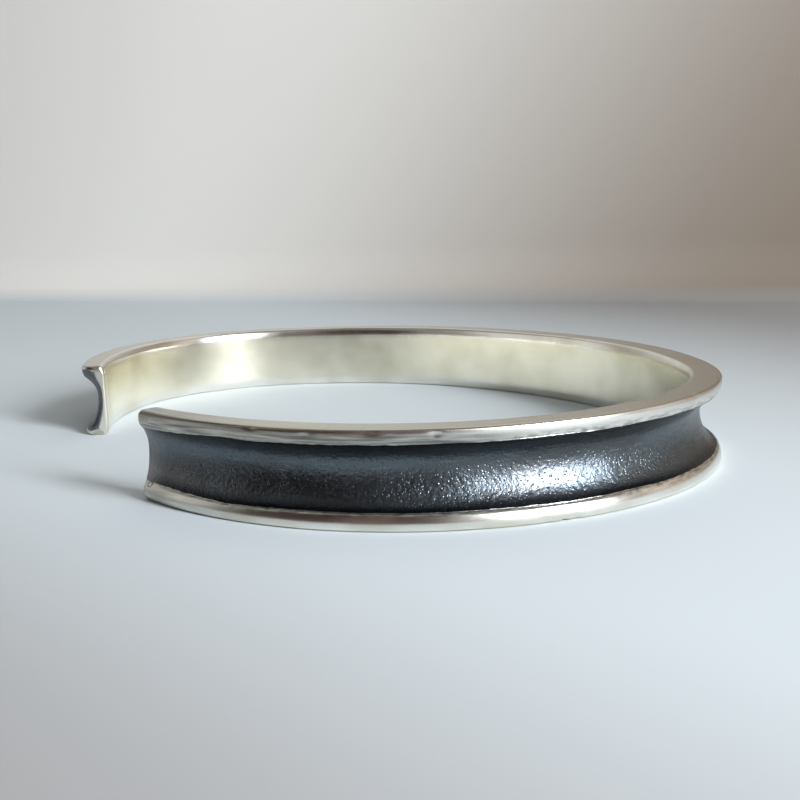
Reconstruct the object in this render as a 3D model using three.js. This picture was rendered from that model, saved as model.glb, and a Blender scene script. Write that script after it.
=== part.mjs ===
// Open cuff bangle in silver: one strip with a channel hollowed along its outer face, bent into an oval.
// Millimetres, +Z up. It lies on its side with its lower rim on z = 0 and its opening toward -Y,
// and x = 0, y = 0 is the middle of its footprint.

import * as THREE from 'three';

// Section of the strip.
const BAND_HEIGHT = 6.5;
const RIM_THICKNESS = 2.5;
const CHANNEL_DEPTH = 1.6;
const RIM_LAND = 0.75; // upright outer face of each rim, its corner included
const LIP_RADIUS = 0.6; // where a rim turns over into the channel
const OUTER_EDGE_RADIUS = 0.22;
const INNER_EDGE_RADIUS = 0.3;

// Inner wall seen from above, as arcs laid end to end from the middle of the back to each end.
const ARC_RUNS = [20, 20, 20, 14];

// The arms were bent and filed by hand, so each has its own radii and its own end. The strip thins
// and the channel runs shallower over TAPER_RUN. Rounding is where each part meets the end face.
const TAPER_RUN = 14;
const ARMS = [
  {
    side: -1,
    radii: [45, 28, 15.5, 32],
    end: { thickness: 2.1, depth: 1.25 },
    rounding: { rim: 1.1, wall: 0.3, waist: 0.2, faces: 0.3 },
  },
  {
    side: 1,
    radii: [38, 20.5, 20.5, 33],
    end: { thickness: 2, depth: 0.9 },
    rounding: { rim: 0.9, wall: 0.55, waist: 0.2, faces: 0.3 },
  },
];

// Fineness of the mesh.
const STATION_STEP = 1.9; // along the strip
const END_STATIONS = [0, 0.04, 0.12, 0.3, 0.6, 1.1]; // distances from the end face
const EDGE_STEPS = 2;
const LIP_STEPS = 3;
const CHANNEL_STEPS = 8;

const silver = new THREE.MeshStandardMaterial({ color: 0xcdc8bc, roughness: 0.3, metalness: 1 });

// How far a rounded edge of the given radius has drawn in at a distance from the end face.
function drawnIn(radius, fromEnd) {
  if (fromEnd >= radius) {
    return 0;
  }
  return radius - Math.sqrt(radius ** 2 - (radius - fromEnd) ** 2);
}

// Points of an arc about (out, up), from one angle to another in radians.
function arcPoints(out, up, radius, from, to, steps) {
  return Array.from({ length: steps + 1 }, (_, i) => {
    const angle = from + (to - from) * i / steps;
    return { out: out + radius * Math.cos(angle), up: up + radius * Math.sin(angle) };
  });
}

// Closed outline of an arm's section, counterclockwise with out to the right and up upward.
function sectionAt(arm, fromEnd) {
  const { end, rounding } = arm;
  const taper = Math.max(1 - fromEnd / TAPER_RUN, 0) ** 1.5;
  const thickness = THREE.MathUtils.lerp(RIM_THICKNESS, end.thickness, taper);
  const channelDepth = THREE.MathUtils.lerp(CHANNEL_DEPTH, end.depth, taper);
  const inner = drawnIn(rounding.wall, fromEnd);
  const rim = thickness - drawnIn(rounding.rim, fromEnd);
  const waist = thickness - channelDepth - drawnIn(rounding.waist, fromEnd);
  const bottom = drawnIn(rounding.faces, fromEnd);
  const middle = BAND_HEIGHT / 2;

  // The channel is one arc that meets the two lip arcs smoothly.
  const depth = rim - waist;
  const halfWidth = middle - RIM_LAND;
  const steepest = 2 * Math.atan(depth / halfWidth);
  const channelRadius = halfWidth / Math.sin(steepest) - LIP_RADIUS;

  const half = Math.PI / 2;
  const lower = [
    ...arcPoints(inner + INNER_EDGE_RADIUS, bottom + INNER_EDGE_RADIUS, INNER_EDGE_RADIUS,
      -Math.PI, -half, EDGE_STEPS),
    ...arcPoints(rim - OUTER_EDGE_RADIUS, bottom + OUTER_EDGE_RADIUS, OUTER_EDGE_RADIUS,
      -half, 0, EDGE_STEPS),
    ...arcPoints(rim - LIP_RADIUS, RIM_LAND, LIP_RADIUS, 0, steepest, LIP_STEPS),
  ];
  const channel = arcPoints(waist + channelRadius, middle, channelRadius,
    Math.PI + steepest, Math.PI - steepest, CHANNEL_STEPS).slice(1, -1);
  const upper = lower.map(({ out, up }) => ({ out, up: BAND_HEIGHT - up })).reverse();
  return [...lower, ...channel, ...upper];
}

// Place and heading on an arm of the inner wall, at a distance from the middle of the back.
function placeOnArm(arm, distance) {
  let x = 0;
  let y = 0;
  let heading = 0;
  let left = distance;
  arm.radii.forEach((radius, i) => {
    const run = Math.min(left, ARC_RUNS[i]);
    const turn = run / radius;
    x += radius * (Math.sin(heading + turn) - Math.sin(heading));
    y += radius * (Math.cos(heading + turn) - Math.cos(heading));
    heading += turn;
    left -= run;
  });
  return { x: arm.side * x, y, outX: arm.side * Math.sin(heading), outY: Math.cos(heading) };
}

// Stations of one arm from the middle of the back to its end, closer together at the end.
function armStations(arm) {
  const length = ARC_RUNS.reduce((sum, run) => sum + run, 0);
  const plain = length - END_STATIONS.at(-1);
  const steps = Math.round(plain / STATION_STEP);
  const distances = Array.from({ length: steps }, (_, i) => plain * i / steps);
  distances.push(...END_STATIONS.map((fromEnd) => length - fromEnd).reverse());
  return distances.map((distance) => ({
    ...placeOnArm(arm, distance),
    section: sectionAt(arm, length - distance),
  }));
}

// The strip: its section carried along both arms, with a flat face on each end.
function bandGeometry() {
  const [leftArm, rightArm] = ARMS.map(armStations);
  const stations = [...leftArm.toReversed(), ...rightArm.slice(1)];
  const ringSize = stations[0].section.length;
  const positions = stations.flatMap(({ x, y, outX, outY, section }) => (
    section.flatMap(({ out, up }) => [x + outX * out, y + outY * out, up])
  ));

  const triangles = [];
  for (let i = 0; i + 1 < stations.length; i += 1) {
    for (let j = 0; j < ringSize; j += 1) {
      const next = (j + 1) % ringSize;
      const [a, b] = [i * ringSize + j, i * ringSize + next];
      const [c, d] = [a + ringSize, b + ringSize];
      triangles.push(a, b, c, b, d, c);
    }
  }
  const endFace = (stationIndex) => {
    const outline = stations[stationIndex].section.map(({ out, up }) => new THREE.Vector2(out, up));
    const corners = THREE.ShapeUtils.triangulateShape(outline, []).flat();
    return corners.map((corner) => stationIndex * ringSize + corner);
  };
  triangles.push(...endFace(0).reverse(), ...endFace(stations.length - 1));

  const geometry = new THREE.BufferGeometry();
  geometry.setAttribute('position', new THREE.Float32BufferAttribute(positions, 3));
  geometry.setIndex(triangles);
  geometry.computeBoundingBox();
  const centre = geometry.boundingBox.getCenter(new THREE.Vector3());
  geometry.translate(-centre.x, -centre.y, 0);
  geometry.computeVertexNormals();
  return geometry;
}

const bangle = new THREE.Group();
const cuffBand = new THREE.Mesh(bandGeometry(), silver);
cuffBand.name = 'cuff_band';
bangle.add(cuffBand);

export default bangle;
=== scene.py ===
# Open cuff bangle in oxidised sterling silver, lying on its lower rim on a pale table.
# Metres and +Z up, with the opening toward -Y, in the same frame as the solid that it dresses.

import math

import bpy
import numpy as np
from mathutils import Matrix, Vector, noise


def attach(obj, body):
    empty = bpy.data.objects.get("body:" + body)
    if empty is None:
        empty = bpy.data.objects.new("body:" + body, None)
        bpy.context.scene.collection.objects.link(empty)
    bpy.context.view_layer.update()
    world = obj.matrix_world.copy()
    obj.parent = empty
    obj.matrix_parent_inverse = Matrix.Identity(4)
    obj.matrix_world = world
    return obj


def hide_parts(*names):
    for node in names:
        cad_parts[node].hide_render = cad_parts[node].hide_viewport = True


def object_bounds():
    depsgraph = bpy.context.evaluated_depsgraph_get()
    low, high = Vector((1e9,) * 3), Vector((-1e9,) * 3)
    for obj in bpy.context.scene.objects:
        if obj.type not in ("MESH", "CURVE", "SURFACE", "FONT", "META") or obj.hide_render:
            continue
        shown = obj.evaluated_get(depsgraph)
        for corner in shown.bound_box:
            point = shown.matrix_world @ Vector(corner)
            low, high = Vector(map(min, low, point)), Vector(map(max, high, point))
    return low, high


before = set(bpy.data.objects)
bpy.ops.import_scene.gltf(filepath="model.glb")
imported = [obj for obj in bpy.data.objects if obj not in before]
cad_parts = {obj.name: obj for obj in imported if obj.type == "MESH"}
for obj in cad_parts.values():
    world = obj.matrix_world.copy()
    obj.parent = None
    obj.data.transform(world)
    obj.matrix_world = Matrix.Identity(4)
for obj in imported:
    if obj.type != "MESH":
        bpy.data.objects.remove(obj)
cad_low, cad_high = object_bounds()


# Camera. A phone held low in front of the bangle, a hand's width away and turned a little about
# its own axis, looking across the near arm into the opening.

MM = 0.001
CAMERA_PLACE = Vector((88.4, -43.7, 19.5)) * MM
CAMERA_PAN = math.radians(62.3)  # from +Y, counterclockwise seen from above
CAMERA_PITCH = math.radians(9.7)  # downward
CAMERA_ROLL = math.radians(-2.2)
CAMERA_LENS = 49.6
SENSOR_WIDTH = 36

camera = bpy.data.objects.new("camera", bpy.data.cameras.new("camera"))
bpy.context.scene.collection.objects.link(camera)
camera.data.sensor_width = SENSOR_WIDTH
camera.data.lens = CAMERA_LENS
camera.data.clip_start = 5 * MM
camera.data.clip_end = 10
camera.matrix_world = (
    Matrix.Translation(CAMERA_PLACE)
    @ Matrix.Rotation(CAMERA_PAN, 4, "Z")
    @ Matrix.Rotation(math.pi / 2 - CAMERA_PITCH, 4, "X")
    @ Matrix.Rotation(CAMERA_ROLL, 4, "Z")
)
bpy.context.scene.camera = camera


# Table and wall. A matt white table top that runs up in a soft cove to a plain painted wall, which stands
# behind the bangle. Both carry painted shade: the wall fades from pale grey to a warmer, darker painted
# shade on the right, and the table darkens in its far right corner and has a painted shadow across its
# front.

TABLE_REACH = 1.5
WALL_DISTANCE = 0.155  # from the middle of the bangle, straight away from the camera
WALL_TURN = math.radians(26)  # the wall stands nearer on the right
WALL_HEIGHT = 0.8
COVE_RADIUS = 0.012
COVE_STEPS = 12

# The warm wall colour and the table's corner and front colours are painted shade and a painted shadow.
WALL_PALE, WALL_WARM_SHADE = "#e9e6e0", "#7d7164"
TABLE_WHITE, TABLE_CORNER_SHADE, TABLE_FRONT_SHADOW = "#cad2d5", "#8c8a88", "#a09f9f"
# Directions in which the painted shade and shadow change, with x along the wall, y toward it and z up,
# and the distances in metres between which they change.
WALL_SHADE_DIRECTION, WALL_SHADE_FADE = (1, 0, -0.6), (-0.09, 0.095)
CORNER_SHADE_DIRECTION, CORNER_SHADE_FADE = (1, 1, 0), (-0.06, 0.06)
FRONT_SHADOW_DIRECTION, FRONT_SHADOW_FADE = (0.37, 1.29, 0), (-0.235, -0.187)
WALL_FOOT = 0.003  # height over which the table's shade gives way to the wall's


def linear(hex_colour):
    """An sRGB hex colour as linear RGBA."""
    channels = [int(hex_colour[i : i + 2], 16) / 255 for i in (1, 3, 5)]
    return (*((c / 12.92 if c <= 0.04045 else ((c + 0.055) / 1.055) ** 2.4) for c in channels), 1.0)


def new_material(name):
    """A new material with its node tree and its shader."""
    material = bpy.data.materials.new(name)
    material.use_nodes = True
    tree = material.node_tree
    return material, tree, tree.nodes["Principled BSDF"]


def put(node, inputs):
    """Gives a node's inputs, by name or number, a number, a hex colour or another node's output."""
    for key, value in inputs.items():
        named = [socket for socket in node.inputs if socket.enabled and socket.name == key]
        socket = named[0] if named else node.inputs[key]
        if isinstance(value, bpy.types.Node):
            value = next(output for output in value.outputs if output.enabled)
        if isinstance(value, bpy.types.NodeSocket):
            node.id_data.links.new(value, socket)
        elif isinstance(value, str):
            socket.default_value = linear(value)
        else:
            socket.default_value = value


def add(tree, kind, inputs, **settings):
    """Adds a node with its settings and links."""
    made = tree.nodes.new(kind)
    for name, value in settings.items():
        setattr(made, name, value)
    put(made, inputs)
    return made


def add_mesh(name, vertices, faces, material):
    """A smooth-shaded mesh object in the scene."""
    mesh = bpy.data.meshes.new(name)
    mesh.from_pydata(vertices, [], faces)
    mesh.materials.append(material)
    mesh.shade_smooth()
    made = bpy.data.objects.new(name, mesh)
    bpy.context.scene.collection.objects.link(made)
    return made


def backdrop_profile():
    """Distance and height of the table and wall from front to top, with the cove between them."""
    cove = [math.pi / 2 * i / COVE_STEPS for i in range(COVE_STEPS + 1)]
    return [
        (-TABLE_REACH, 0),
        *((COVE_RADIUS * (math.sin(turn) - 1), COVE_RADIUS * (1 - math.cos(turn))) for turn in cove),
        (0, WALL_HEIGHT),
    ]


# Flat wall paint and a matt white table top. Neither shines, and the painted shade in their colour
# changes only slowly.
painted_wall, tree, shader = new_material("matt_table_and_wall_with_painted_shade")
place = add(tree, "ShaderNodeTexCoord", {}).outputs["Object"]
height = add(tree, "ShaderNodeSeparateXYZ", {"Vector": place}).outputs["Z"]
shares = []
# How far each painted shade has set in: on the wall toward its right, in the table's far right corner,
# and the painted shadow across the table's front.
for direction, fade in (
    (WALL_SHADE_DIRECTION, WALL_SHADE_FADE), (CORNER_SHADE_DIRECTION, CORNER_SHADE_FADE), (FRONT_SHADOW_DIRECTION, FRONT_SHADOW_FADE),
):
    measured = add(tree, "ShaderNodeVectorMath", {0: place, 1: direction}, operation="DOT_PRODUCT")
    shares.append(add(tree, "ShaderNodeMapRange", {
        "Value": measured.outputs["Value"], "From Min": fade[0], "From Max": fade[1],
    }, interpolation_type="SMOOTHSTEP"))
wall_shade_share, corner_shade_share, front_shadow_share = shares
upright = add(tree, "ShaderNodeMapRange", {"Value": height, "From Max": WALL_FOOT})
wall = add(tree, "ShaderNodeMix", {
    "Factor": wall_shade_share, "A": WALL_PALE, "B": WALL_WARM_SHADE,
}, data_type="RGBA")
table = add(tree, "ShaderNodeMix", {
    "Factor": corner_shade_share, "A": TABLE_WHITE, "B": TABLE_CORNER_SHADE,
}, data_type="RGBA")
table = add(tree, "ShaderNodeMix", {
    "Factor": front_shadow_share, "A": TABLE_FRONT_SHADOW, "B": table,
}, data_type="RGBA")
colour = add(tree, "ShaderNodeMix", {"Factor": upright, "A": table, "B": wall}, data_type="RGBA")
put(shader, {"Base Color": colour, "Roughness": 0.9})

profile = backdrop_profile()
backdrop = add_mesh(
    "table_and_wall",
    [(side * TABLE_REACH, out, up) for side in (-1, 1) for out, up in profile],
    [(i, i + len(profile), i + 1 + len(profile), i + 1) for i in range(len(profile) - 1)],
    painted_wall,
)
from_camera = Matrix.Rotation(CAMERA_PAN, 4, "Z")  # +X to the camera's right and +Y away from it
backdrop.matrix_world = (
    from_camera
    @ Matrix.Translation((0, WALL_DISTANCE, 0))
    @ Matrix.Rotation(-WALL_TURN, 4, "Z")
)


# Light. A window to the right of the camera with a tall, brighter patch of sky in it, in a pale
# room. A dark brown screen stands behind the camera and to its left, seen in reflections alone.

SCREEN_HEIGHT = 0.095
# Its folds seen from above, to the camera's right and away from it, from the bangle's middle.
SCREEN_FOLDS = ((0.012, -0.101), (-0.018, -0.101), (-0.030, -0.076), (-0.140, -0.066))


def add_light(name, bearing, height, distance, size, radiance, colour):
    """A rectangular light that faces the bangle. bearing is from the camera's side to the right."""
    light = bpy.data.lights.new(name, "AREA")
    light.shape = "RECTANGLE"
    light.size, light.size_y = size
    light.energy = radiance * 4 * size[0] * size[1]  # size then leaves its brightness alone
    light.color = linear(colour)[:3]
    made = bpy.data.objects.new(name, light)
    bpy.context.scene.collection.objects.link(made)
    flat = Vector((math.sin(bearing), -math.cos(bearing), 0))
    toward = from_camera @ (flat * math.cos(height) + Vector((0, 0, math.sin(height))))
    made.location = toward * distance
    made.rotation_euler = toward.to_track_quat("Z", "Y").to_euler()
    made.visible_camera = False


add_light(
    "window", bearing=math.radians(43), height=math.radians(22), distance=0.5,
    size=(0.38, 0.34), radiance=2.4, colour="#f5f9ff",
)
add_light(
    "bright_sky", bearing=math.radians(45), height=math.radians(21), distance=0.48,
    size=(0.11, 0.21), radiance=40, colour="#f5f9ff",
)
add_light(
    "pale_room_side", bearing=math.radians(-108), height=math.radians(17), distance=0.9,
    size=(0.8, 0.5), radiance=0.45, colour="#f6f5f2",
)

room = bpy.data.worlds.new("room")
bpy.context.scene.world = room
room.use_nodes = True
put(room.node_tree.nodes["Background"], {"Color": "#868685"})
bpy.context.scene.view_settings.view_transform = "Standard"

# Uncoated card, dyed through, so it is dull from every side.
brown_card, tree, shader = new_material("matt_brown_card")
put(shader, {"Base Color": "#46291f", "Roughness": 0.8})
screen = add_mesh(
    "screen",
    [(*fold, up) for fold in SCREEN_FOLDS for up in (0, SCREEN_HEIGHT)],
    [(i, i + 1, i + 3, i + 2) for i in range(0, 2 * len(SCREEN_FOLDS) - 2, 2)],
    brown_card,
)
screen.data.shade_flat()
screen.matrix_world = from_camera
screen.visible_camera = False
screen.visible_diffuse = False
screen.visible_shadow = False


# Cuff band. One strip of sterling silver with a channel down its outer face, bent to an oval
# and filed round at its ends. The channel is blackened and the rims are polished back to bright.

BAND_HEIGHT = (cad_high.z - cad_low.z) / MM
RIM_THICKNESS = 2.5
CHANNEL_DEPTH = 1.6
CHANNEL_RISE = 0.35  # how far its deepest line lies above the middle
LIP_RADIUS = 0.6
CROWN_RADIUS = 1.3  # the rim's outer face is rubbed slightly round
CROWN_TO_EDGE = math.radians(8)
CROWN_TO_LIP = math.radians(30)
OUTER_EDGE_RADIUS = 0.22
INNER_EDGE_RADIUS = 0.3
INNER_CROWN_RADIUS = 1.7  # the inner wall leans back toward its edges, worn by the wrist
INNER_CROWN = math.radians(25)
EDGE_ROOM = 1.2  # thickness below which the edges have to be smaller
ARC_RUNS = (20, 20, 20, 14)  # inner wall as arcs, from the middle of the back to each end
ARM_LENGTH = sum(ARC_RUNS)
TAPER_RUN = 14  # the strip thins and its channel runs shallower toward each end
TAPER_POWER = 1.5
BEVEL_RUN = 9  # the outer edge was filed rounder toward each end

FAR_ARM = {
    "side": -1, "radii": (45, 28, 15.5, 32), "end_thickness": 2.1, "end_depth": 1.25,
    "rim_rounding": 1.1, "wall_rounding": 0.3, "waist_rounding": 0.45, "face_rounding": 0.3,
    "end_edge": 0.3, "end_bright": -0.15, "bright_corner": 0.3,
}
NEAR_ARM = {
    "side": 1, "radii": (38, 20.5, 20.5, 33), "end_thickness": 2.0, "end_depth": 0.9,
    "rim_rounding": 1.0, "wall_rounding": 0.6, "waist_rounding": 0.3, "face_rounding": 0.6,
    "end_edge": 0.5, "end_bright": -0.35, "bright_corner": 1.2,
}

STATION_STEP = 0.2
END_REACH = 1.1
END_STEPS = 14
LEAN_STEPS, EDGE_STEPS, FACE_STEPS, CROWN_STEPS = 6, 5, 7, 8
LIP_STEPS, CHANNEL_STEPS, WALL_STEPS = 7, 36, 12


def drawn_in(radius, from_end):
    """How far a rounded edge has drawn in at a distance from the end face."""
    return radius - math.sqrt(radius**2 - max(radius - from_end, 0) ** 2)


def arc(out, up, radius, start, stop, steps):
    """Points of an arc about (out, up), as rows of out and up."""
    angle = np.linspace(start, stop, steps + 1)
    return np.stack([out + radius * np.cos(angle), up + radius * np.sin(angle)], 1)


def straight(start, stop, steps):
    """Points between two others, both left out."""
    share = np.linspace(0, 1, steps + 1)[1:-1, None]
    return start + (stop - start) * share


def section_at(arm, from_end):
    """Closed outline of the section, counterclockwise from the lower inner edge."""
    taper = max(1 - from_end / TAPER_RUN, 0) ** TAPER_POWER
    thickness = RIM_THICKNESS + (arm["end_thickness"] - RIM_THICKNESS) * taper
    channel_depth = CHANNEL_DEPTH + (arm["end_depth"] - CHANNEL_DEPTH) * taper
    inner = drawn_in(arm["wall_rounding"], from_end)
    rim = thickness - drawn_in(arm["rim_rounding"], from_end)
    waist = thickness - channel_depth - drawn_in(arm["waist_rounding"], from_end)
    bottom = drawn_in(arm["face_rounding"], from_end)
    filed = max(1 - from_end / BEVEL_RUN, 0)
    room = min((rim - inner) / EDGE_ROOM, 1)
    edge = (OUTER_EDGE_RADIUS + (arm["end_edge"] - OUTER_EDGE_RADIUS) * filed) * room
    middle = BAND_HEIGHT / 2

    # The crown and the lip are arcs that meet smoothly, and the channel's arc meets the lip.
    to_lip = min(CROWN_TO_LIP, math.atan((rim - waist) / middle))
    crown_out = rim - CROWN_RADIUS
    crown_up = bottom + edge + (CROWN_RADIUS - edge) * math.sin(CROWN_TO_EDGE)
    edge_out = crown_out + (CROWN_RADIUS - edge) * math.cos(CROWN_TO_EDGE)
    lip_out = crown_out + (CROWN_RADIUS - LIP_RADIUS) * math.cos(to_lip)
    lip_up = crown_up + (CROWN_RADIUS - LIP_RADIUS) * math.sin(to_lip)
    half_width = middle - lip_up
    steepest = 2 * math.atan((lip_out + LIP_RADIUS - waist) / half_width)
    channel_radius = half_width / math.sin(steepest) - LIP_RADIUS

    corner = INNER_EDGE_RADIUS * room
    lean = INNER_CROWN_RADIUS * room
    corner_out = inner + lean - (lean - corner) * math.cos(INNER_CROWN)
    corner_up = bottom + corner
    lean_up = corner_up + (lean - corner) * math.sin(INNER_CROWN)
    lean_stop = INNER_CROWN - math.pi
    leaning = arc(inner + lean, lean_up, lean, -math.pi, lean_stop, LEAN_STEPS)
    inner_edge = arc(corner_out, corner_up, corner, lean_stop, -math.pi / 2, EDGE_STEPS)
    outer_edge = arc(edge_out, bottom + edge, edge, -math.pi / 2, -CROWN_TO_EDGE, EDGE_STEPS)
    crown = arc(crown_out, crown_up, CROWN_RADIUS, -CROWN_TO_EDGE, to_lip, CROWN_STEPS)
    lip = arc(lip_out, lip_up, LIP_RADIUS, to_lip, steepest, LIP_STEPS)
    lower = np.concatenate([
        leaning[:-1],
        inner_edge,
        straight(inner_edge[-1], outer_edge[0], FACE_STEPS),
        outer_edge,
        crown[1:],
        lip[1:],
    ])
    channel = arc(waist + channel_radius, middle, channel_radius,
                  math.pi + steepest, math.pi - steepest, CHANNEL_STEPS)[1:-1]
    off_middle = (channel[:, 1] - middle) / (channel_radius * math.sin(steepest))
    channel[:, 1] += CHANNEL_RISE * (1 - off_middle**2) ** 2
    upper = (lower * (1, -1) + (0, BAND_HEIGHT))[::-1]
    wall = straight(upper[-1], lower[0], WALL_STEPS)
    return np.concatenate([lower, channel, upper, wall])


def place_on_arm(arm, distance):
    """Place on an arm of the inner wall and the way out from it, at a distance from the back."""
    x, y, heading, left = 0.0, 0.0, 0.0, distance
    for radius, arc_run in zip(arm["radii"], ARC_RUNS):
        run = min(left, arc_run)
        turn = run / radius
        x += radius * (math.sin(heading + turn) - math.sin(heading))
        y += radius * (math.cos(heading + turn) - math.cos(heading))
        heading += turn
        left -= run
    side = arm["side"]
    return np.array([side * x, y]), np.array([side * math.sin(heading), math.cos(heading)])


def arm_rings(arm):
    """Rings of an arm from the middle of the back to its end, and each ring's distance along."""
    steps = round((ARM_LENGTH - END_REACH) / STATION_STEP)
    plain = np.linspace(0, ARM_LENGTH - END_REACH, steps + 1)
    rounding = ARM_LENGTH - END_REACH * (1 - np.sin(np.linspace(0, math.pi / 2, END_STEPS + 1)[1:]))
    distances = [*plain, *rounding]
    rings = []
    for distance in distances:
        place, outward = place_on_arm(arm, distance)
        section = section_at(arm, ARM_LENGTH - distance)
        flat = place + section[:, :1] * outward
        rings.append(np.column_stack([flat, section[:, 1]]))
    return np.array(rings), arm["side"] * np.array(distances)


far_rings, far_along = arm_rings(FAR_ARM)
near_rings, near_along = arm_rings(NEAR_ARM)
rings = np.concatenate([far_rings[::-1], near_rings[1:]])
along = np.concatenate([far_along[::-1], near_along[1:]])[:, None]
ring_count, ring_size = rings.shape[:2]

# Every point's place on the surface in millimetres: along the strip, and round its section from
# the lower inner edge, measured on a full section away from the ends.
full_section = section_at(NEAR_ARM, TAPER_RUN)
steps_round = np.linalg.norm(np.diff(full_section, axis=0, append=full_section[:1]), axis=1)
around = np.concatenate([[0], np.cumsum(steps_round)[:-1]])
lower_face_start = LEAN_STEPS + EDGE_STEPS
lower_crown_start = lower_face_start + FACE_STEPS + EDGE_STEPS
lower_lip_start = lower_crown_start + CROWN_STEPS
lower_lip_end = lower_lip_start + LIP_STEPS
upper_lip_start = lower_lip_end + CHANNEL_STEPS
upper_lip_end = upper_lip_start + LIP_STEPS
upper_crown_end = upper_lip_end + CROWN_STEPS
upper_face_end = upper_crown_end + EDGE_STEPS + FACE_STEPS
wall_start = ring_size - WALL_STEPS + 1

# The blackening starts just under the upper lip and part way up the lower one, and runs out over
# both ends with its corners rounded off. These distances are in millimetres.
LOWER_LIP_BRIGHT = 0.3
UPPER_LIP_BRIGHT = 0.05
FAR_SPREAD = 0.8  # toward the far end it spreads over both lips
FAR_SPREAD_RUN = 5
NEAR_WORN = 0.5  # and toward the near end the lips are worn bright further down
NEAR_WORN_RUN = 9
lower_start = around[lower_lip_start] + LOWER_LIP_BRIGHT
upper_start = around[upper_lip_end] - UPPER_LIP_BRIGHT
spread = FAR_SPREAD * np.clip(1 - (ARM_LENGTH + along) / FAR_SPREAD_RUN, 0, 1)
worn = NEAR_WORN * np.clip(1 - (ARM_LENGTH - along) / NEAR_WORN_RUN, 0, 1)
from_lips = np.minimum(around - lower_start, upper_start - around) + spread - worn
end_bright = np.where(along < 0, FAR_ARM["end_bright"], NEAR_ARM["end_bright"])
from_ends = ARM_LENGTH - np.abs(along) - end_bright
corner = np.where(along < 0, FAR_ARM["bright_corner"], NEAR_ARM["bright_corner"])
past_corner = np.hypot(np.maximum(corner - from_lips, 0), np.maximum(corner - from_ends, 0))
blackened = np.minimum(np.minimum(from_lips, from_ends), corner - past_corner)

points = rings.reshape(-1, 3)
footprint = (points.min(0) + points.max(0)) / 2
points = points - (footprint[0], footprint[1], 0)

quads = [
    (a, b, b + ring_size, a + ring_size)
    for start in range(0, (ring_count - 1) * ring_size, ring_size)
    for a, b in zip(
        range(start, start + ring_size),
        [*range(start + 1, start + ring_size), start],
    )
]
far_end = tuple(range(ring_size))[::-1]
near_end = tuple(range((ring_count - 1) * ring_size, ring_count * ring_size))

silver, tree, shader = new_material("polished_and_blackened_sterling_silver")
cuff = add_mesh("silver_cuff_band", (points * MM).tolist(), [far_end, *quads, near_end], silver)
mesh = cuff.data

# Work of the hand: every face is a little uneven, always inward from the true form. The channel
# keeps the soft facets of the hammer, and the rims are only slightly wavy.
ALL_OVER_WAVES = ((5, 0.02, 1), (1.6, 0.012, 2))  # length and depth in millimetres, and seed
CHANNEL_WAVES = ((2.4, 0.05, 3), (0.9, 0.02, 4))
CHANNEL_FADE_START, CHANNEL_FADE = -0.15, 0.5  # millimetres in from the blackening's edge


def waves(places, length, seed):
    """Smooth random heights from 0 to 1 at places in millimetres, with bumps of a given length."""
    shift = Vector((seed * 17.3, seed * 5.1, seed * 9.7))  # a part of the noise for each seed
    heights = [noise.noise(Vector(place) / length + shift) for place in places]
    return np.clip(np.array(heights) * 0.6 + 0.5, 0, 1)


in_channel = np.clip((blackened.reshape(-1) - CHANNEL_FADE_START) / CHANNEL_FADE, 0, 1)
inward = sum(depth * waves(points, length, seed) for length, depth, seed in ALL_OVER_WAVES)
inward += in_channel * sum(
    depth * waves(points, length, seed) for length, depth, seed in CHANNEL_WAVES
)

# Knocks from wear: small dents scattered along the outer edges of both rims.
NICKS = 46
NICK_DEPTH = 0.1
NICK_LENGTH, NICK_WIDTH = 0.24, 0.2
NICK_LENGTHS, NICK_DEPTHS = (0.6, 1.6), (0.3, 1)  # smallest and largest share of the above
NICK_SCATTER = 0.2
NICK_FROM_LIP = 0.8
chance = np.random.default_rng(5)
nick_levels = (around[lower_lip_start] - NICK_FROM_LIP, around[upper_lip_end] + NICK_FROM_LIP)
for _ in range(NICKS):
    middle = chance.uniform(-ARM_LENGTH, ARM_LENGTH)
    level = nick_levels[chance.integers(2)] + chance.normal(0, NICK_SCATTER)
    lengthwise = np.exp(-(((along - middle) / (NICK_LENGTH * chance.uniform(*NICK_LENGTHS))) ** 2))
    crosswise = np.exp(-(((around - level) / NICK_WIDTH) ** 2))
    inward += NICK_DEPTH * chance.uniform(*NICK_DEPTHS) * (lengthwise * crosswise).ravel()

normals = np.empty(len(points) * 3, np.float32)
mesh.vertex_normals.foreach_get("vector", normals)
uneven = points - normals.reshape(-1, 3) * inward[:, None]
uneven[:, 2] = uneven[:, 2].clip(0, BAND_HEIGHT)
mesh.vertices.foreach_set("co", (uneven * MM).astype(np.float32).ravel())
mesh.update()

# Where each finish and painted shade lies: the inner wall, the flat faces with painted shade, a grey film
# on the near arm's upper lip and all over its end, and a dark line of painted shade and painted
# reflection along its filed upper edge.
FILM_START, FILM_RUN = 46, 4  # along the near arm, in millimetres from the middle of the back
FILM_WIDTH = 0.85
FILM_EDGES = (0.1, 0.3)  # how softly it sets in below and fades out above
TIP_START, TIP_RUN, TIP_FILM = 62, 9, 0.7
# A dark line of painted shade and painted reflection along the near arm's upper outer edge.
LINE_START, LINE_RUN = 62, 3
LINE_ABOVE_CROWN, LINE_WIDTH = 0.1, 0.1


def set_attribute(name, kind, field, values):
    """Stores a value for every point of the cuff, for its material to read."""
    layer = mesh.attributes.new(name, kind, "POINT")
    layer.data.foreach_set(field, np.asarray(values, np.float32).ravel())


strip = np.zeros((ring_count, ring_size, 3))
strip[..., 0] = along
strip[..., 1] = around
inner_wall = np.zeros((ring_count, ring_size))
inner_wall[:, wall_start:] = 1
flat_face = np.zeros((ring_count, ring_size))
flat_face[:, lower_face_start : lower_crown_start - 1] = 1
flat_face[:, upper_crown_end + 2 : upper_face_end + 1] = 1

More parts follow.
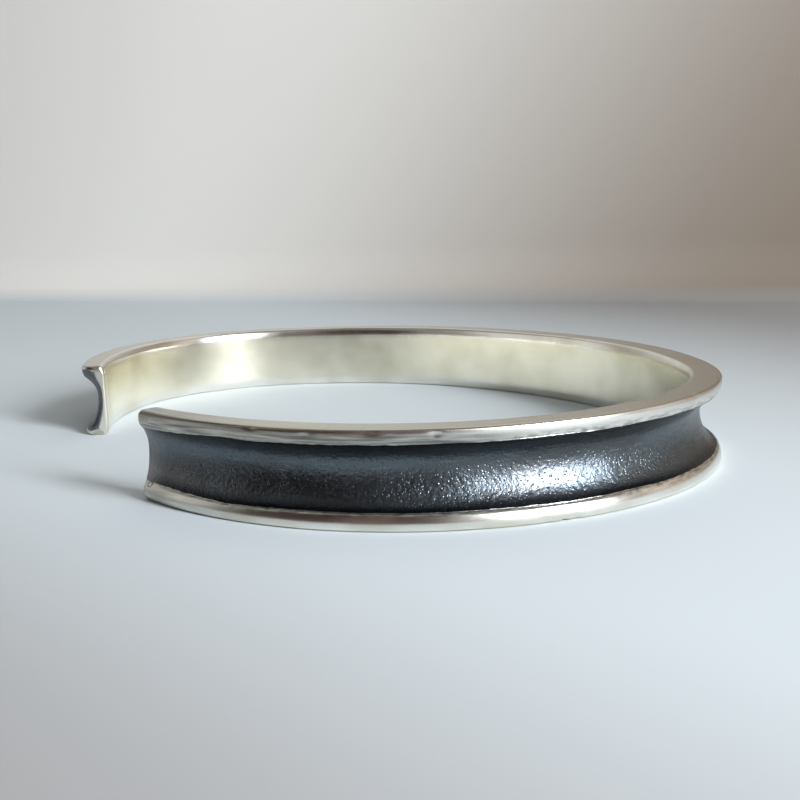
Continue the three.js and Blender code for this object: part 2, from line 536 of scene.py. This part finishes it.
film_below = np.clip((around - upper_start) / FILM_EDGES[0] + 1, 0, 1)
film_above = np.clip((upper_start + FILM_WIDTH - around) / FILM_EDGES[1], 0, 1)
lip_film = film_below * film_above * np.clip((along - FILM_START) / FILM_RUN, 0, 1)
tip_film = TIP_FILM * np.clip((along - TIP_START) / TIP_RUN, 0, 1) * (1 - inner_wall)
from_line = around - around[upper_crown_end] - LINE_ABOVE_CROWN
line_across = np.exp(-((from_line / LINE_WIDTH) ** 2))
painted_edge_shade = line_across * np.clip((along - LINE_START) / LINE_RUN, 0, 1)
set_attribute("strip_mm", "FLOAT_VECTOR", "vector", strip)
set_attribute("blackened_mm", "FLOAT", "value", blackened)
set_attribute("inner_wall", "FLOAT", "value", inner_wall)
set_attribute("flat_face", "FLOAT", "value", flat_face)
set_attribute("film", "FLOAT", "value", np.maximum(lip_film, tip_film))
set_attribute("painted_edge_shade", "FLOAT", "value", painted_edge_shade)


# Sterling silver, hand polished with a fine satin left inside, and blackened in the channel with
# liver of sulphur. The polish mirrors the room softly, and the blackening is a dark slate skin
# with the metal's own shine, rough with small pits that catch the light one by one.

POLISHED = "#efece5"
# Painted shade: the flat faces are greyer for the dimmer room that they mirror.
FLAT_FACE_SHADE = "#cac5b8"
INNER = "#f5f0de"
YELLOWED = "#c2bba0"
FILM = "#80817c"
# Painted shade and reflection, for the line along the near arm's upper edge.
LINE_SHADE = "#3f3a37"
SLATE = "#60696f"
BROWNED = "#54575a"
RUBBED = "#9a9ca0"
# Painted shade next to the lips, and the patina in the punch ring.
DEEP_PATINA_AND_SHADE = "#242529"

# Sizes of the patterns in millimetres, written as one over how many lie in a millimetre. Real
# scratches, streaks and pits are a few hundredths wide, too fine to show, so they are drawn coarser.
WANDER_SIZE, CRUMBLE_SIZE, CLOUD_SIZE, PATCH_SIZE = 1 / 0.6, 1 / 4.5, 1 / 0.3, 1 / 0.17
STREAK_WIDTH, BRUSH_WIDTH, SCRATCH_WIDTH = 1 / 7, 1 / 4, 1 / 16
PIT_SPACING, GRAIN_SIZE = 1 / 4.5, 1 / 3.4
EDGE_STRETCH, STREAK_STRETCH, SCRATCH_STRETCH = 3, 14, 25  # how many times longer than wide
EDGE_WANDER, EDGE_CRUMBLE = 0.3, 0.12  # how far each moves the blackening's edge
HANDLED_RUN = 3.0  # length of the handled stretch at each end
RELIEF = 0.038  # height of the finish's bumps

strip_mm = add(tree, "ShaderNodeAttribute", {}, attribute_name="strip_mm").outputs["Vector"]
blackened_mm = add(tree, "ShaderNodeAttribute", {}, attribute_name="blackened_mm").outputs["Fac"]
inside = add(tree, "ShaderNodeAttribute", {}, attribute_name="inner_wall").outputs["Fac"]
flat = add(tree, "ShaderNodeAttribute", {}, attribute_name="flat_face").outputs["Fac"]
filmed = add(tree, "ShaderNodeAttribute", {}, attribute_name="film").outputs["Fac"]
edge_shade = add(tree, "ShaderNodeAttribute", {}, attribute_name="painted_edge_shade").outputs["Fac"]
body = add(tree, "ShaderNodeTexCoord", {}).outputs["Object"]
body_mm = add(tree, "ShaderNodeVectorMath", {0: body, "Scale": 1 / MM}, operation="SCALE")
edge_strip, long_strip, hair_strip = (
    add(tree, "ShaderNodeVectorMath", {0: strip_mm, 1: (1 / stretch, 1, 1)}, operation="MULTIPLY")
    for stretch in (EDGE_STRETCH, STREAK_STRETCH, SCRATCH_STRETCH)
)

# The edge of the blackening wanders a little and crumbles where the polishing stick caught it.
wander = add(tree, "ShaderNodeTexNoise", {
    "Vector": edge_strip, "Scale": 1 / WANDER_SIZE, "Detail": 3.0,
})
crumble = add(tree, "ShaderNodeTexNoise", {
    "Vector": edge_strip, "Scale": 1 / CRUMBLE_SIZE, "Detail": 2.0,
})
depth = add(tree, "ShaderNodeMath", {
    0: wander, 1: EDGE_WANDER, 2: blackened_mm,
}, operation="MULTIPLY_ADD")
depth = add(tree, "ShaderNodeMath", {0: crumble, 1: EDGE_CRUMBLE, 2: depth}, operation="MULTIPLY_ADD")
depth = add(tree, "ShaderNodeMath", {
    0: depth, 1: (EDGE_WANDER + EDGE_CRUMBLE) / 2,
}, operation="SUBTRACT")
black = add(tree, "ShaderNodeMapRange", {
    "Value": depth, "From Min": -0.03, "From Max": 0.04,
}, interpolation_type="SMOOTHSTEP")

# Blackened skin: slate in the middle with brown clouds, darker with painted shade next to its edge under
# the lips, and rubbed to bare grey in fine streaks along the strip and by handling at both ends.
clouds = add(tree, "ShaderNodeTexNoise", {"Vector": edge_strip, "Scale": 1 / CLOUD_SIZE, "Detail": 3.0})
cloud_share = add(tree, "ShaderNodeMapRange", {"Value": clouds, "From Min": 0.4, "From Max": 0.6})
streaks = add(tree, "ShaderNodeTexNoise", {
    "Vector": long_strip, "Scale": 1 / STREAK_WIDTH, "Detail": 2.0,
})
rubbed = add(tree, "ShaderNodeMapRange", {
    "Value": streaks, "From Min": 0.6, "From Max": 0.8, "To Max": 0.5,
})
from_back = add(tree, "ShaderNodeSeparateXYZ", {"Vector": strip_mm}).outputs["X"]
from_back = add(tree, "ShaderNodeMath", {0: from_back}, operation="ABSOLUTE")
handled = add(tree, "ShaderNodeMapRange", {
    "Value": from_back, "From Min": ARM_LENGTH - HANDLED_RUN, "From Max": ARM_LENGTH, "To Max": 0.5,
}, interpolation_type="SMOOTHSTEP")
# Painted shade: the skin darkens toward the edge of the blackening, under the lips.
under_lip_shade = add(tree, "ShaderNodeMapRange", {
    "Value": depth, "From Min": 0.0, "From Max": 1.0, "To Min": 0.95, "To Max": 0.0,
}, interpolation_type="SMOOTHSTEP")
skin = add(tree, "ShaderNodeMix", {"Factor": cloud_share, "A": BROWNED, "B": SLATE}, data_type="RGBA")
skin = add(tree, "ShaderNodeMix", {"Factor": rubbed, "A": skin, "B": RUBBED}, data_type="RGBA")
skin = add(tree, "ShaderNodeMix", {"Factor": under_lip_shade, "A": skin, "B": DEEP_PATINA_AND_SHADE}, data_type="RGBA")
skin = add(tree, "ShaderNodeMix", {"Factor": handled, "A": skin, "B": RUBBED}, data_type="RGBA")

# Bare silver: nearly white on the lips, greyer on the flat faces as painted shade, creamy inside and
# yellowed in patches, with the film, smudges beside the blackening and the dark line of painted shade and
# reflection along the near arm's upper edge.
patches = add(tree, "ShaderNodeTexNoise", {"Vector": body_mm, "Scale": 1 / PATCH_SIZE, "Detail": 3.0})
patch_share = add(tree, "ShaderNodeMapRange", {
    "Value": patches, "From Min": 0.42, "From Max": 0.7, "To Max": 0.55,
})
brushed = add(tree, "ShaderNodeTexNoise", {
    "Vector": long_strip, "Scale": 1 / BRUSH_WIDTH, "Detail": 4.0,
})
film_share = add(tree, "ShaderNodeMapRange", {
    "Value": brushed, "From Min": 0.38, "From Max": 0.6, "To Min": 0.45, "To Max": 1.0,
})
film_share = add(tree, "ShaderNodeMath", {0: film_share, 1: filmed}, operation="MULTIPLY")
smudge = add(tree, "ShaderNodeMapRange", {
    "Value": depth, "From Min": -0.6, "From Max": -0.02, "To Max": 0.8,
}, interpolation_type="SMOOTHSTEP")
speckle = add(tree, "ShaderNodeMapRange", {"Value": crumble, "From Min": 0.4, "From Max": 0.62})
smudge = add(tree, "ShaderNodeMath", {0: smudge, 1: speckle}, operation="MULTIPLY")
film_share = add(tree, "ShaderNodeMath", {0: film_share, 1: smudge}, operation="MAXIMUM")
# The dark line along the near arm's upper edge is painted shade and a painted reflection.
edge_shade_share = add(tree, "ShaderNodeMath", {0: edge_shade, 1: 0.8}, operation="MULTIPLY")
# The flat faces are made greyer with painted shade.
bright = add(tree, "ShaderNodeMix", {"Factor": flat, "A": POLISHED, "B": FLAT_FACE_SHADE}, data_type="RGBA")
bright = add(tree, "ShaderNodeMix", {"Factor": inside, "A": bright, "B": INNER}, data_type="RGBA")
bright = add(tree, "ShaderNodeMix", {"Factor": patch_share, "A": bright, "B": YELLOWED}, data_type="RGBA")
bright = add(tree, "ShaderNodeMix", {"Factor": film_share, "A": bright, "B": FILM}, data_type="RGBA")
bright = add(tree, "ShaderNodeMix", {"Factor": edge_shade_share, "A": bright, "B": LINE_SHADE}, data_type="RGBA")
colour = add(tree, "ShaderNodeMix", {"Factor": black, "A": bright, "B": skin}, data_type="RGBA")

# A ring left by a punch that slipped, on the lower lip just inside the near end.
RING_FROM_END, RING_ABOVE_LIP, RING_RADIUS = 1.3, 0.1, 0.24
ring_centre = (ARM_LENGTH - RING_FROM_END, around[lower_lip_end] + RING_ABOVE_LIP, 0)
from_ring = add(tree, "ShaderNodeVectorMath", {0: strip_mm, 1: ring_centre}, operation="DISTANCE")
from_ring = add(tree, "ShaderNodeMath", {0: from_ring, 1: RING_RADIUS}, operation="SUBTRACT")
from_ring = add(tree, "ShaderNodeMath", {0: from_ring}, operation="ABSOLUTE")
ring = add(tree, "ShaderNodeMapRange", {
    "Value": from_ring, "From Min": 0.02, "From Max": 0.09, "To Min": 0.8, "To Max": 0.0,
})
colour = add(tree, "ShaderNodeMix", {"Factor": ring, "A": colour, "B": DEEP_PATINA_AND_SHADE}, data_type="RGBA")

# Polish and relief: the silver is satin with hair scratches along it, and the skin is duller
# and full of shallow pits 0.2 mm wide, whose rims catch the light one by one.
satin = add(tree, "ShaderNodeMapRange", {"Value": inside, "To Min": 0.2, "To Max": 0.21})
satin = add(tree, "ShaderNodeMath", {0: wander, 1: 0.08, 2: satin}, operation="MULTIPLY_ADD")
satin = add(tree, "ShaderNodeMath", {0: filmed, 1: 0.06, 2: satin}, operation="MULTIPLY_ADD")
dull = add(tree, "ShaderNodeMapRange", {
    "Value": crumble, "From Min": 0.3, "From Max": 0.7, "To Min": 0.29, "To Max": 0.37,
})
roughness = add(tree, "ShaderNodeMix", {"Factor": black, "A": satin, "B": dull})

scratches = add(tree, "ShaderNodeTexNoise", {
    "Vector": hair_strip, "Scale": 1 / SCRATCH_WIDTH, "Detail": 2.0,
})
pits = add(tree, "ShaderNodeTexVoronoi", {"Vector": body_mm, "Scale": 1 / PIT_SPACING})
pit_depth = add(tree, "ShaderNodeMapRange", {"Value": pits, "From Max": 0.35, "To Max": 0.6})
grain = add(tree, "ShaderNodeTexNoise", {"Vector": body_mm, "Scale": 1 / GRAIN_SIZE, "Detail": 2.5})
bright_relief = add(tree, "ShaderNodeMath", {0: scratches, 1: 0.045}, operation="MULTIPLY")
black_relief = add(tree, "ShaderNodeMath", {0: grain, 1: 1.2, 2: pit_depth}, operation="MULTIPLY_ADD")
relief = add(tree, "ShaderNodeMix", {"Factor": black, "A": bright_relief, "B": black_relief})
bump = add(tree, "ShaderNodeBump", {"Height": relief, "Distance": RELIEF * MM, "Strength": 1.0})
put(shader, {"Base Color": colour, "Metallic": 1.0, "Roughness": roughness, "Normal": bump})

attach(cuff, "root")
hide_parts("cuff_band")
